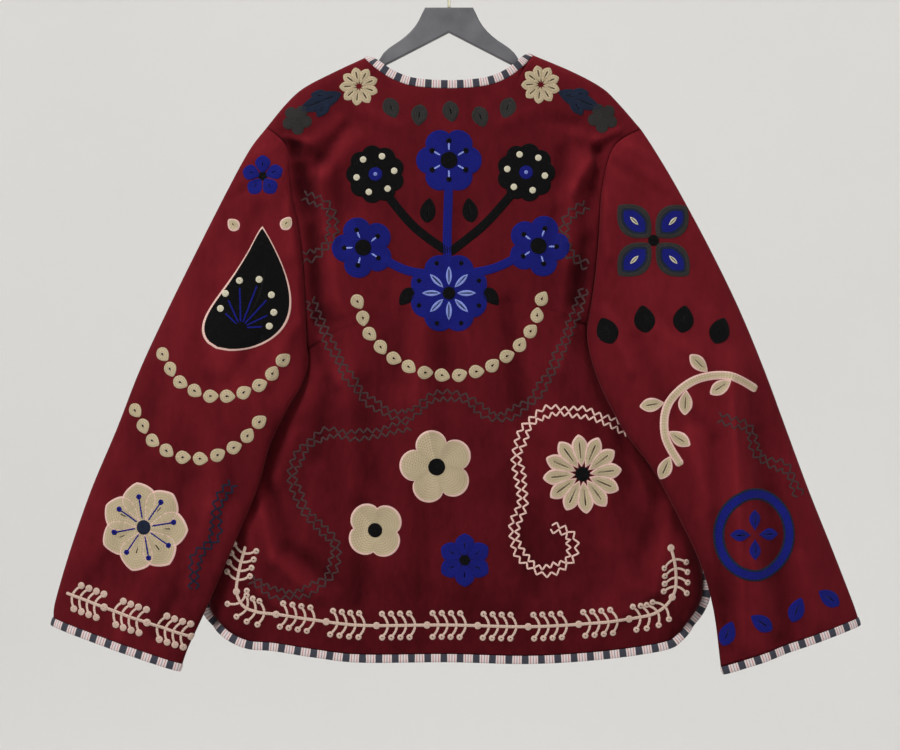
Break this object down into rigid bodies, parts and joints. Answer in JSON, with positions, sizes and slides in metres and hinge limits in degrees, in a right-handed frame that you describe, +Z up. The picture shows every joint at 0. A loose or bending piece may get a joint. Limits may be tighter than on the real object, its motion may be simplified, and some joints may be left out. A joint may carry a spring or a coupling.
{
  "type": "embroidered blazer on a hanger",
  "caption": "Wide collarless velvet blazer with embroidery and striped bindings, hung flat on a hanger with a wire hook.",
  "frame": {"origin": "the point of the hook that rests on its rail", "axes": "+Z up, +X across the jacket to the wearer's right, so to the right seen from behind; the jacket's back faces -Y"},
  "size_m": [0.9291, 0.0627, 0.8359],
  "materials": {
    "velvet": "deep red cotton velvet with a soft nap",
    "binding": "woven cotton, navy and white bars with thin red lines",
    "embroidery": "wool chain stitch",
    "hanger": "dark grey, satin",
    "hook": "pale, polished"
  },
  "bodies": {
    "root": {"back_panel": "velvet", "front_left": "velvet", "front_right": "velvet", "sleeve_left_back": "velvet", "sleeve_left_front": "velvet", "sleeve_right_back": "velvet", "sleeve_right_front": "velvet", "cuff_binding_left": "binding", "cuff_binding_right": "binding", "neck_binding": "binding", "hem_binding_back": "binding", "front_binding_left": "binding", "front_binding_right": "binding", "hanger_body": "hanger", "hanger_hook": "hook"}
  },
  "joints": []
}
